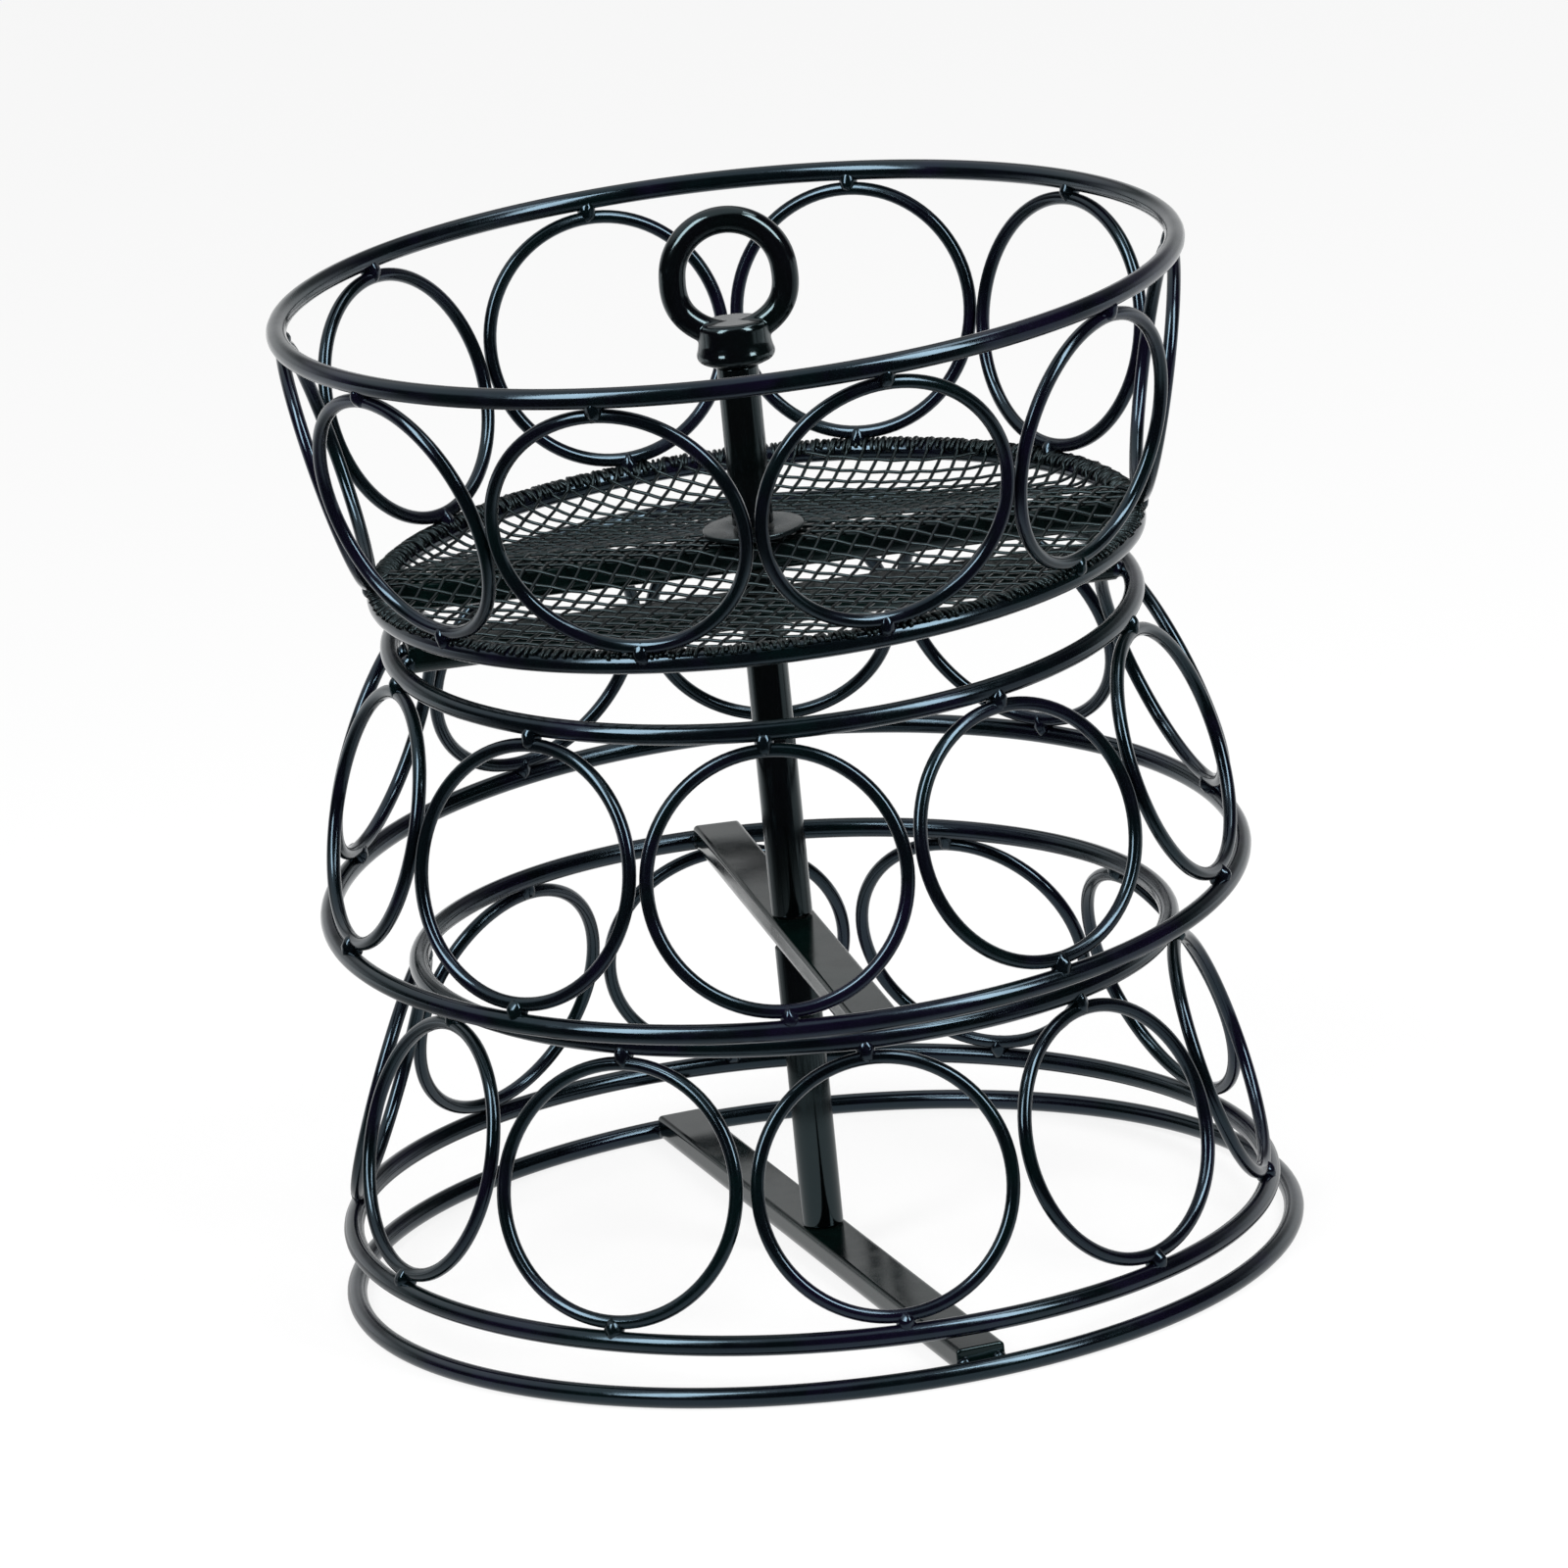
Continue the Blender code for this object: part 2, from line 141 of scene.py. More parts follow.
# Weld beads
BEAD_HALF_WIDTH = 0.0019
BEAD_HALF_HEIGHT = 0.0027
BEAD_HALF_DEPTH = 0.0023
BEAD_OVERLAP = 0.85
BEAD_LUMPS = ((0.16, 1.6), (0.05, 4.0))
BEAD_SEED_STEPS = (7.31, 3.17, 5.93)
BAR_WELD_SIZE = 0.0017
BAR_WELD_STRETCH = 1.1
BAR_WELD_INSET = 0.0002
BAR_WELD_SPREAD = 0.36
BAR_WELD_DROP = 0.08

# Noise in the finishes: scale, detail, roughness and distortion
TINT_DRIFT = (38.0, 3.0, 0.55, 0.6)
GLOSS_PATCHES = (160.0, 4.0, 0.6)
SKIN_GRAIN = (1500.0, 3.0, 0.6)
COAT_RIPPLE = (220.0, 2.0, 0.5)
ZINC_BLOTCHES = (300.0, 5.0, 0.65, 0.4)
TURNING_MARKS = (900.0, 4.0, 0.7)
TINT_STOPS = (0.36, 0.50, 0.64)
NOISE_RANGE = (0.3, 0.7)
SKIN_DEPTH = 0.00004
RIPPLE_DEPTH = 0.0001
MARK_STRENGTH = 0.25
MARK_DEPTH = 0.00005
COAT_IOR = 1.55
ZINC_ROUGHNESS = (0.30, 0.48)

# Softboxes: azimuth from the camera's side and elevation in degrees, width, height, brightness
LAMPS = {
    "left_softbox": (-46, 42, 0.36, 0.90, 14.0),
    "right_softbox": (52, 40, 0.32, 0.90, 15.0),
    "right_top_softbox": (90, 64, 0.40, 0.25, 5.0),
}
LAMP_DISTANCE = 1.2
LAMP_AIM = Vector((0.0, 0.0, 0.11))

# What gloss sees of the floor and the studio: from, to, and the brightness at each. The floor's part is
# a painted glow: a painted pool of light round the object, painted light behind and to the right, and
# painted dimness in front.
DIM = 0.03
FLOOR_CENTRE = (0.03, 0.0, 0.0)
FLOOR_NEAR = (0.10, 0.26, 0.72, DIM)
FLOOR_BEHIND = (-0.15, 0.30, DIM, 1.0)
FLOOR_RIGHT = (math.radians(56), math.radians(66), DIM, 0.55)
STUDIO_BEHIND = (0.25, 0.75, DIM, 1.0)
STUDIO_LOWER = (0.22, 0.45, 1.0, 0.20)
OVERHEAD_WAY = (-0.3, 0.2, 1.0)
OVERHEAD = (0.60, 0.88, 0.0, 1.0)
FLOOR_COLOUR = (0.86, 0.86, 0.86, 1.0)
FLOOR_OWN_LIGHT = 0.85
FLOOR_HALF_SIZE = 6.0
STUDIO_LIGHT = 0.55

UP = Vector((0.0, 0.0, 1.0))

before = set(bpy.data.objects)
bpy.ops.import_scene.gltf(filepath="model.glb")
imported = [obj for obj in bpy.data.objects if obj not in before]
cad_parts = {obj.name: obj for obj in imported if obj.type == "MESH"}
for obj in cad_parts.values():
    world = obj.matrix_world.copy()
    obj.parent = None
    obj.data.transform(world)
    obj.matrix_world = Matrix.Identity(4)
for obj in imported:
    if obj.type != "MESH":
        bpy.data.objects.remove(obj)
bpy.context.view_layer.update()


def ease(share):
    """A share from 0 to 1, held at its ends and softened towards them."""
    share = min(max(share, 0.0), 1.0)
    return share * share * (3 - 2 * share)


def node_points(node):
    """The corner points of a solid, each once."""
    points = [vert.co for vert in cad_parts[node].data.vertices]
    return np.unique(np.round(np.array(points, float), 7), axis=0)


class Hoop:
    """Centre, axis and middle radius of a wire hoop, read off its solid."""

    def __init__(self, node):
        points = node_points(node)
        centre = points.mean(axis=0)
        axis = Vector(np.linalg.svd(points - centre, full_matrices=False)[2][2])
        self.centre = Vector(centre)
        self.axis = axis if axis.z > 0 else -axis
        if abs(self.axis.z) < 0.5:
            outward = Vector((self.centre.x, self.centre.y, 0.0))
            self.axis = axis if axis.dot(outward) > 0 else -axis
        away = points - centre
        along = away @ np.array(self.axis)
        self.radius = float(np.sqrt((away**2).sum(axis=1) - along**2).mean())
        self.across = UP.cross(self.axis)
        if self.across.length < 0.2:
            self.across = Vector((1.0, 0.0, 0.0))
        self.across = (self.across - self.axis * self.across.dot(self.axis)).normalized()
        self.upward = self.axis.cross(self.across)

    def point(self, angle, radius=None):
        reach = self.radius if radius is None else radius
        return self.centre + (self.across * math.cos(angle) + self.upward * math.sin(angle)) * reach


def new_object(name, bm, body, material, smooth_angle=None):
    """Turn a bmesh into a piece that rides on a body and has one finish."""
    bmesh.ops.recalc_face_normals(bm, faces=bm.faces)
    mesh = bpy.data.meshes.new(name)
    bm.to_mesh(mesh)
    bm.free()
    mesh.shade_smooth()
    if smooth_angle is not None:
        mesh.set_sharp_from_angle(angle=smooth_angle)
    obj = bpy.data.objects.new(name, mesh)
    bpy.context.scene.collection.objects.link(obj)
    mesh.materials.append(material)
    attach(obj, body)
    return obj


def sweep(bm, path, radius, sides, closed=False, start_normal=None):
    """Add a round wire along a path. radius is one value or one for each point."""
    count = len(path)
    radii = radius if isinstance(radius, list) else [radius] * count
    normal = start_normal
    rings = []
    for index, point in enumerate(path):
        before = path[index - 1] if index or closed else point
        after = path[(index + 1) % count] if closed or index + 1 < count else point
        tangent = (after - before).normalized()
        if normal is None:
            normal = tangent.orthogonal()
        normal = (normal - tangent * normal.dot(tangent)).normalized()
        side = tangent.cross(normal)
        ring = []
        for step in range(sides):
            angle = 2 * math.pi * step / sides
            reach = normal * math.cos(angle) + side * math.sin(angle)
            ring.append(bm.verts.new(point + reach * radii[index]))
        rings.append(ring)
    pairs = list(zip(rings, rings[1:]))
    if closed:
        pairs.append((rings[-1], rings[0]))
    for first, second in pairs:
        for step in range(sides):
            after = (step + 1) % sides
            bm.faces.new((first[step], first[after], second[after], second[step]))
    if not closed:
        bm.faces.new(list(reversed(rings[0])))
        bm.faces.new(rings[-1])


def lathe(bm, profile, origin, axis, segments=TURNED_SEGMENTS):
    """Turn a closed or open profile of (radius, height) about an axis."""
    across = axis.orthogonal().normalized()
    side = axis.cross(across)
    rings = []
    for radius, height in profile:
        if radius < 1e-7:
            rings.append([bm.verts.new(origin + axis * height)])
            continue
        ring = []
        for step in range(segments):
            angle = 2 * math.pi * step / segments
            reach = across * math.cos(angle) + side * math.sin(angle)
            ring.append(bm.verts.new(origin + axis * height + reach * radius))
        rings.append(ring)
    pairs = list(zip(rings, rings[1:]))
    if len(rings[0]) > 1 and len(rings[-1]) > 1:
        pairs.append((rings[-1], rings[0]))
    for first, second in pairs:
        for step in range(segments):
            after = (step + 1) % segments
            corners = []
            for vert in (first[step % len(first)], first[after % len(first)],
                         second[after % len(second)], second[step % len(second)]):
                if vert not in corners:
                    corners.append(vert)
            bm.faces.new(corners)


def rounded(profile, radius, steps=4):
    """Round every corner of a closed profile."""
    result = []
    count = len(profile)
    for index, corner in enumerate(profile):
        here = Vector(corner)
        before = (Vector(profile[index - 1]) - here)
        after = (Vector(profile[(index + 1) % count]) - here)
        cut = min(radius, before.length * 0.45, after.length * 0.45)
        start = here + before.normalized() * cut
        end = here + after.normalized() * cut
        for step in range(steps + 1):
            share = step / steps
            point = start.lerp(here, share).lerp(here.lerp(end, share), share)
            result.append((point.x, point.y))
    return result


# Materials


class Tree:
    """A short way to add and link shader nodes."""

    def __init__(self, tree):
        self.tree = tree

    def add(self, kind, **settings):
        node = self.tree.nodes.new(kind)
        for key, value in settings.items():
            setattr(node, key, value)
        return node

    def link(self, source, target):
        self.tree.links.new(source, target)

    def span(self, source, low, high, out_low, out_high, kind="LINEAR"):
        node = self.add("ShaderNodeMapRange", interpolation_type=kind)
        node.inputs["From Min"].default_value = low
        node.inputs["From Max"].default_value = high
        node.inputs["To Min"].default_value = out_low
        node.inputs["To Max"].default_value = out_high
        self.link(source, node.inputs["Value"])
        return node.outputs["Result"]

    def soft_span(self, source, limits):
        return self.span(source, *limits, kind="SMOOTHSTEP")

    def combine(self, operation, first, second):
        node = self.add("ShaderNodeMath", operation=operation)
        self.link(first, node.inputs[0])
        if isinstance(second, float):
            node.inputs[1].default_value = second
        else:
            self.link(second, node.inputs[1])
        return node.outputs[0]

    def measure(self, operation, source, other):
        node = self.add("ShaderNodeVectorMath", operation=operation)
        node.inputs[1].default_value = other
        self.link(source, node.inputs[0])
        return node.outputs["Value"]

    def split(self, source):
        node = self.add("ShaderNodeSeparateXYZ")
        self.link(source, node.inputs[0])
        return node.outputs

    def mix(self, share, first, second):
        node = self.add("ShaderNodeMixShader")
        self.link(share, node.inputs["Fac"])
        self.link(first, node.inputs[1])
        self.link(second, node.inputs[2])
        return node.outputs[0]


class Coat(Tree):
    """A material with one principled shader and textures in the object's own space."""

    def __init__(self, name):
        self.material = bpy.data.materials.new(name)
        self.material.use_nodes = True
        super().__init__(self.material.node_tree)
        self.shader = self.tree.nodes["Principled BSDF"]
        self.place = self.add("ShaderNodeTexCoord").outputs["Object"]

    def set(self, **values):
        for key, value in values.items():
            self.shader.inputs[key.replace("_", " ")].default_value = value

    def drive(self, socket, source):
        self.link(source, self.shader.inputs[socket])

    def noise(self, scale, detail=2.0, roughness=0.5, distortion=0.0):
        node = self.add("ShaderNodeTexNoise")
        node.inputs["Scale"].default_value = scale
        node.inputs["Detail"].default_value = detail
        node.inputs["Roughness"].default_value = roughness
        node.inputs["Distortion"].default_value = distortion
        self.link(self.place, node.inputs["Vector"])
        return node.outputs["Fac"]

    def ramp(self, source, stops):
        node = self.add("ShaderNodeValToRGB")
        while len(node.color_ramp.elements) < len(stops):
            node.color_ramp.elements.new(0.5)
        for element, (position, colour) in zip(node.color_ramp.elements, stops):
            element.position = position
            element.color = (*colour, 1.0)
        self.link(source, node.inputs["Fac"])
        return node.outputs["Color"]

    def bump(self, height, strength, distance, under=None):
        node = self.add("ShaderNodeBump")
        node.inputs["Strength"].default_value = strength
        node.inputs["Distance"].default_value = distance
        self.link(height, node.inputs["Height"])
        if under is not None:
            self.link(under, node.inputs["Normal"])
        return node.outputs["Normal"]


def black_coat(name, tints, roughness, peel, ripple, tint, gloss=0.5):
    """Glossy black stoved coating: faint coloured cast, uneven gloss and a fine skin."""
    coat = Coat(name)
    drift = coat.noise(*TINT_DRIFT)
    coat.drive("Base Color", coat.ramp(drift, list(zip(TINT_STOPS, tints))))
    coat.drive("Roughness", coat.span(coat.noise(*GLOSS_PATCHES), *NOISE_RANGE, *roughness))
    skin = coat.bump(coat.noise(*SKIN_GRAIN), peel, SKIN_DEPTH)
    coat.drive("Normal", coat.bump(coat.noise(*COAT_RIPPLE), ripple, RIPPLE_DEPTH, skin))
    coat.set(IOR=COAT_IOR, Specular_IOR_Level=gloss, Specular_Tint=tint)
    return coat.material


def zinc(name, low, high):
    """Dull plated steel with turning marks and darker blotches."""
    coat = Coat(name)
    blotch = coat.noise(*ZINC_BLOTCHES)
    coat.drive("Base Color", coat.ramp(blotch, list(zip(NOISE_RANGE, (low, high)))))
    coat.drive("Roughness", coat.span(blotch, *NOISE_RANGE, *ZINC_ROUGHNESS))
    coat.drive("Normal", coat.bump(coat.noise(*TURNING_MARKS), MARK_STRENGTH, MARK_DEPTH))
    coat.set(Metallic=1.0)
    return coat.material


WIRE_TINTS = ((0.0006, 0.0026, 0.0028), (0.0008, 0.0012, 0.0020), (0.0022, 0.0014, 0.0058))
BAR_TINTS = ((0.0008, 0.0052, 0.0044), (0.0010, 0.0030, 0.0027), (0.0010, 0.0022, 0.0022))
POST_TINTS = ((0.0005, 0.0011, 0.0010), (0.0007, 0.0008, 0.0009), (0.0010, 0.0009, 0.0015))
MESH_TINTS = ((0.0014, 0.0034, 0.0030), (0.0012, 0.0019, 0.0019), (0.0018, 0.0018, 0.0024))
CAST_TINTS = ((0.0006, 0.0014, 0.0014), (0.0008, 0.0008, 0.0012), (0.0012, 0.0010, 0.0020))
BLUE_GLOSS = (0.54, 0.80, 1.0, 1.0)
COOL_GLOSS = (0.66, 0.92, 1.0, 1.0)

WIRE_FINISH = black_coat("gloss_black_wire", WIRE_TINTS, (0.10, 0.20), 0.10, 0.08, BLUE_GLOSS)
BEAD_FINISH = black_coat("gloss_black_weld", WIRE_TINTS, (0.10, 0.20), 0.20, 0.50, BLUE_GLOSS)
BAR_FINISH = black_coat("gloss_black_bar", BAR_TINTS, (0.10, 0.18), 0.06, 0.05, COOL_GLOSS, 0.3)
POST_FINISH = black_coat("gloss_black_post", POST_TINTS, (0.08, 0.16), 0.06, 0.05, COOL_GLOSS)
MESH_FINISH = black_coat("black_mesh_coat", MESH_TINTS, (0.26, 0.40), 0.30, 0.20, COOL_GLOSS, 0.3)
CAST_FINISH = black_coat("gloss_black_cast", CAST_TINTS, (0.08, 0.16), 0.08, 0.16, COOL_GLOSS)
ZINC_FINISH = zinc("plated_steel", (0.20, 0.20, 0.19), (0.36, 0.36, 0.34))
WASHER_FINISH = black_coat("washer_black", MESH_TINTS, (0.20, 0.34), 0.20, 0.10, COOL_GLOSS)

TIERS = {
    "lower_tier": ("lower_tier_bottom_ring", "lower_tier_top_ring"),
    "middle_tier": ("middle_tier_bottom_ring", "middle_tier_top_ring"),
    "basket": ("basket_bottom_ring", "basket_rim"),
}
CIRCLES_PER_TIER = 10


# Wires


def make_hoop(node, body, wire, segments, sides, lift=0.0, shrink=0.0):
    """A smooth round hoop in the place of a faceted one."""
    hoop = Hoop(node)
    hoop.centre.z += lift
    hoop.radius -= shrink
    bm = bmesh.new()
    path = [hoop.point(2 * math.pi * step / segments) for step in range(segments)]
    sweep(bm, path, wire / 2, sides, closed=True, start_normal=hoop.axis)
    obj = new_object(node + "_wire", bm, body, WIRE_FINISH)
    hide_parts(node)
    return hoop


def add_bead(bm, place, along, upward, half_sizes, seed):
    """One lumpy weld bead."""
    outward = along.cross(upward).normalized()
    shape = bmesh.ops.create_icosphere(bm, subdivisions=3, radius=1.0)
    offset = Vector([seed * step for step in BEAD_SEED_STEPS])
    for vert in shape["verts"]:
        way = vert.co.normalized()
        lump = 1.0
        for depth, scale in BEAD_LUMPS:
            lump += depth * noise.noise(way * scale + offset)
        size = way * lump
        vert.co = (
            place
            + along * size.x * half_sizes[0]
            + upward * size.y * half_sizes[1]
            + outward * size.z * half_sizes[2]
        )


def make_tier(body, bottom_node, top_node):
    """A tier's two rings, its circles and the beads that join them."""
    bottom = make_hoop(bottom_node, body, RING_WIRE, RING_SEGMENTS, RING_SIDES, shrink=FLAT_RELIEF)
    top = make_hoop(top_node, body, RING_WIRE, RING_SEGMENTS, RING_SIDES, shrink=FLAT_RELIEF)
    beads = bmesh.new()
    reach = (CIRCLE_WIRE + RING_WIRE) / 4
    sizes = (BEAD_HALF_WIDTH, BEAD_HALF_HEIGHT, BEAD_HALF_DEPTH)
    for index in range(CIRCLES_PER_TIER):
        node = f"{body}_circle_{index + 1:02d}"
        circle = make_hoop(node, body, CIRCLE_WIRE, CIRCLE_SEGMENTS, CIRCLE_SIDES)
        for end, ring in ((1, top), (-1, bottom)):
            slant = circle.upward * end
            if slant.dot(ring.centre - circle.centre) < 0:
                slant = -slant
            place = circle.centre + slant * (circle.radius + reach * BEAD_OVERLAP)
            seed = index * 2 + (end > 0) + len(body)
            add_bead(beads, place, circle.across, slant, sizes, seed)
    new_object(body + "_weld_beads", beads, body, BEAD_FINISH)
    return bottom, top


# Cross bars


def bar_outline():
    """Section of a bar: crisp upper edges, well rounded lower ones. Starts at the top right."""
    points = []
    corners = (
        (1, 1, BAR_TOP_CORNER), (-1, 1, BAR_TOP_CORNER),
        (-1, -1, BAR_BOTTOM_CORNER), (1, -1, BAR_BOTTOM_CORNER),
    )
    for quarter, (side_x, side_y, radius) in enumerate(corners):
        centre_x = side_x * (BAR_WIDTH / 2 - radius)
        centre_y = side_y * (BAR_HEIGHT / 2 - radius)
        margin = CORNER_MARGIN * radius
        for step in range(-1, CORNER_STEPS + 2):
            turn = min(max(step, 0), CORNER_STEPS) / CORNER_STEPS
            angle = math.pi / 2 * (quarter + turn)
            x = centre_x + radius * math.cos(angle)
            y = centre_y + radius * math.sin(angle)
            if step < 0:
                x, y = x + margin * math.sin(angle), y - margin * math.cos(angle)
            if step > CORNER_STEPS:
                x, y = x - margin * math.sin(angle), y + margin * math.cos(angle)
            points.append((x, y))
    return points


def cut_hole(obj, centre, axis, radius):
    """Cut the rod's hole through a bar."""
    bm = bmesh.new()
    depth = BAR_HEIGHT
    lathe(bm, [(0.0, depth), (radius, depth), (radius, -depth), (0.0, -depth)], centre, axis, HOLE_SIDES)
    bmesh.ops.recalc_face_normals(bm, faces=bm.faces)
    mesh = bpy.data.meshes.new("hole")
    bm.to_mesh(mesh)
    bm.free()
    tool = bpy.data.objects.new("hole", mesh)
    bpy.context.scene.collection.objects.link(tool)
    cut = obj.modifiers.new("hole", "BOOLEAN")
    cut.operation = "DIFFERENCE"
    cut.object = tool
    apply_modifiers(obj)
    bpy.data.objects.remove(tool)


def apply_modifiers(obj):
    """Turn an object's modifiers into its mesh."""
    depsgraph = bpy.context.evaluated_depsgraph_get()
    mesh = bpy.data.meshes.new_from_object(obj.evaluated_get(depsgraph))
    obj.modifiers.clear()
    old = obj.data
    obj.data = mesh
    bpy.data.meshes.remove(old)


def make_bar(node, body, axis):
    """A cross bar in the place of its solid, with a bead at each side of each end."""
    points = node_points(node)
    centre = (points.max(axis=0) + points.min(axis=0)) / 2
    along = Vector(np.linalg.svd(points - centre, full_matrices=False)[2][0])
    along = (along - axis * along.dot(axis)).normalized()
    reach = (points - centre) @ np.array(along)
    length = float(reach.max() - reach.min())
    height = (points - centre) @ np.array(axis)
    middle = Vector(centre) + axis * float(height.max() + height.min()) / 2
    side = axis.cross(along)
    outline = bar_outline()
    bm = bmesh.new()
    rings = []
    stations = []
    for step in range(BAR_END_STEPS + 1):
        turn = math.pi / 2 * step / BAR_END_STEPS
        inset = BAR_END_ROUND * (1 - math.sin(turn))
        stations.append((-(length / 2 - BAR_END_ROUND + BAR_END_ROUND * math.cos(turn)), inset))
    stations.append((-length / 2 + BAR_END_ROUND * BAR_END_INNER, 0.0))
    for place, inset in stations + [(-place, inset) for place, inset in reversed(stations)]:
        share_x = 1 - 2 * inset / BAR_WIDTH
        share_y = 1 - 2 * inset / BAR_HEIGHT
        ring = []
        for x, y in outline:
            ring.append(bm.verts.new(middle + along * place + side * x * share_x + axis * y * share_y))
        rings.append(ring)
    for first, second in zip(rings, rings[1:]):
        for index in range(len(outline)):
            after = (index + 1) % len(outline)
            bm.faces.new((first[index], first[after], second[after], second[index]))
    bm.faces.new(list(reversed(rings[0])))
    bm.faces.new(rings[-1])
    obj = new_object(node + "_stock", bm, body, BAR_FINISH, SHARP_EDGE)
    cut_hole(obj, middle, axis, HOLE_RADIUS)
    obj.data.shade_smooth()
    obj.data.set_sharp_from_angle(angle=SHARP_EDGE)
    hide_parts(node)
    welds = bmesh.new()
    for end in (1, -1):
        for edge in (1, -1):
            place = middle + along * end * (length / 2 - BAR_WELD_INSET)
            place += side * edge * BAR_WIDTH * BAR_WELD_SPREAD
            place -= axis * BAR_HEIGHT * BAR_WELD_DROP
            sizes = (BAR_WELD_SIZE, BAR_WELD_SIZE * BAR_WELD_STRETCH, BAR_WELD_SIZE)
            add_bead(welds, place, side, axis, sizes, end * 3 + edge + len(node))
    new_object(node + "_end_welds", welds, body, BEAD_FINISH)
    return along


# Post


def make_tube(node):
    """A tube of the post with softly rounded ends."""
    low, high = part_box(node)
    outer = (high.x - low.x) / 2
    inner = outer - TUBE_WALL
    bottom, top = low.z, high.z
    profile = rounded([(outer, top), (outer, bottom), (inner, bottom), (inner, top)], EDGE_ROUND)
    bm = bmesh.new()
    lathe(bm, profile, Vector((0.0, 0.0, 0.0)), UP)
    obj = new_object(node + "_sleeve", bm, "base", POST_FINISH, SHARP_EDGE)
    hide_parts(node)


def make_washer(axis):
    """The flat washer over the middle of the mesh, leaning as the basket does."""
    points = node_points("mesh_washer")
    centre = points.mean(axis=0)
    along = (points - centre) @ np.array(axis)
    across = np.sqrt(((points - centre) ** 2).sum(axis=1) - along**2)
    outer, inner = float(across.max()), float(across.min())
    low, high = float(along.min()), float(along.max())
    profile = rounded([(outer, high), (outer, low), (inner, low), (inner, high)], EDGE_ROUND)
    bm = bmesh.new()
    lathe(bm, profile, Vector(centre), axis)
    obj = new_object("washer_disc", bm, "basket", WASHER_FINISH, SHARP_EDGE)
    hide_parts("mesh_washer")


def arc(centre_x, centre_y, radius, start, end, steps=8):
    """Points on an arc of a profile, angles in degrees."""
    points = []
    for step in range(steps + 1):
        angle = math.radians(start + (end - start) * step / steps)
        points.append((centre_x + radius * math.cos(angle), centre_y + radius * math.sin(angle)))
    return points


def make_handle():
    """Cast ring handle: collar, neck and boss run into the ring with soft fillets."""
    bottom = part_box("ring_handle")[0].z
    outline = [(0.0, BOSS_HEIGHT)]
    outline += arc(NECK_RADIUS - SHOULDER_ROUND, BOSS_HEIGHT - SHOULDER_ROUND, SHOULDER_ROUND, 90, 0)
    outline += [
        (NECK_RADIUS, BOSS_HEIGHT * NECK_TOP_SHARE),
        (NECK_RADIUS + NECK_FLARE, BOSS_HEIGHT * NECK_FOOT_SHARE),
    ]
    outline += arc(COLLAR_RADIUS - COLLAR_ROUND, COLLAR_LEVEL, COLLAR_ROUND, *COLLAR_ARC)
    outline += [
        (FOOT_RADIUS, 0.0), (ROD_HOLE_RADIUS, 0.0),
        (ROD_HOLE_RADIUS, BOSS_HEIGHT / 2), (0.0, BOSS_HEIGHT / 2),
    ]
    bm = bmesh.new()
    lathe(bm, outline, Vector((0.0, 0.0, bottom)), UP, CAST_SEGMENTS)
    centre = Vector((0.0, 0.0, bottom + BOSS_HEIGHT - EYE_SINK + EYE_RADIUS))
    path = []
    for step in range(CAST_SEGMENTS):
        angle = 2 * math.pi * step / CAST_SEGMENTS
        way = Vector((math.cos(angle), 0.0, math.sin(angle)))
        drop = EYE_FOOT_DROP * ease((EYE_DROP_LEVEL - way.z) / EYE_DROP_SPAN)
        path.append(centre + way * (EYE_RADIUS + drop))
    sweep(bm, path, EYE_WIRE / 2, CAST_SIDES, closed=True, start_normal=Vector((0.0, 1.0, 0.0)))
    obj = new_object("handle_casting", bm, "base", CAST_FINISH)
    remesh = obj.modifiers.new("skin", "REMESH")
    remesh.mode = "VOXEL"
    remesh.voxel_size = CAST_VOXEL
    soften = obj.modifiers.new("fillet", "SMOOTH")
    soften.factor = 0.5
    soften.iterations = CAST_SMOOTHING
    apply_modifiers(obj)
    obj.data.shade_smooth()
    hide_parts("ring_handle")


# Woven mesh floor


class Floor:
    """Height of the mesh over the basket's bottom ring, in the ring's own frame."""

    def __init__(self, ring, along):
        self.ring = ring
        self.u = (along - ring.axis * along.dot(ring.axis)).normalized()
        if self.u.x < 0:
            self.u = -self.u
        self.v = ring.axis.cross(self.u)
        self.edge = ring.radius + HEM_REACH * math.cos(HEM_START)

    def over_bar(self, v):
        """1 over the bar, falling to 0 beside it."""
        return 1 - ease((abs(v) - OVER_BAR_HALF_WIDTH) / OVER_BAR_FADE)

    def height(self, u, v):
        """Flat over the bar, then down to a trough and up to the ring."""
        if abs(v) <= NET_SEAT_HALF_WIDTH:
            return NET_SEAT_HEIGHT
        full_room = self.edge - NET_SEAT_HALF_WIDTH
        room = math.sqrt(max(self.edge**2 - u * u, 0.0)) - NET_SEAT_HALF_WIDTH
        share = min((abs(v) - NET_SEAT_HALF_WIDTH) / max(room, NET_STRAND), 1.0)
        sag = BACK_SAG if v > 0 else FRONT_SAG
        start, end = BACK_TROUGH if v > 0 else FRONT_TROUGH
        if share < start:
            depth = 1 - (1 - share / start) ** 2
        else:
            depth = 1 - (max(share - end, 0.0) / (1 - end)) ** 2
        level = NET_SEAT_HEIGHT + (NET_RIM_HEIGHT - NET_SEAT_HEIGHT) * share
        return level - sag * max(room, 0.0) / full_room * depth

    def place(self, u, v, lift=0.0):
        return self.ring.centre + self.u * u + self.v * v + self.ring.axis * (self.height(u, v) + lift)

    def hem(self, azimuth, angle, reach):
        """A point on the fold round the ring's wire."""
        outward = self.u * math.cos(azimuth) + self.v * math.sin(azimuth)
        centre = self.ring.centre + outward * self.ring.radius
        return centre + (outward * math.cos(angle) + self.ring.axis * math.sin(angle)) * reach


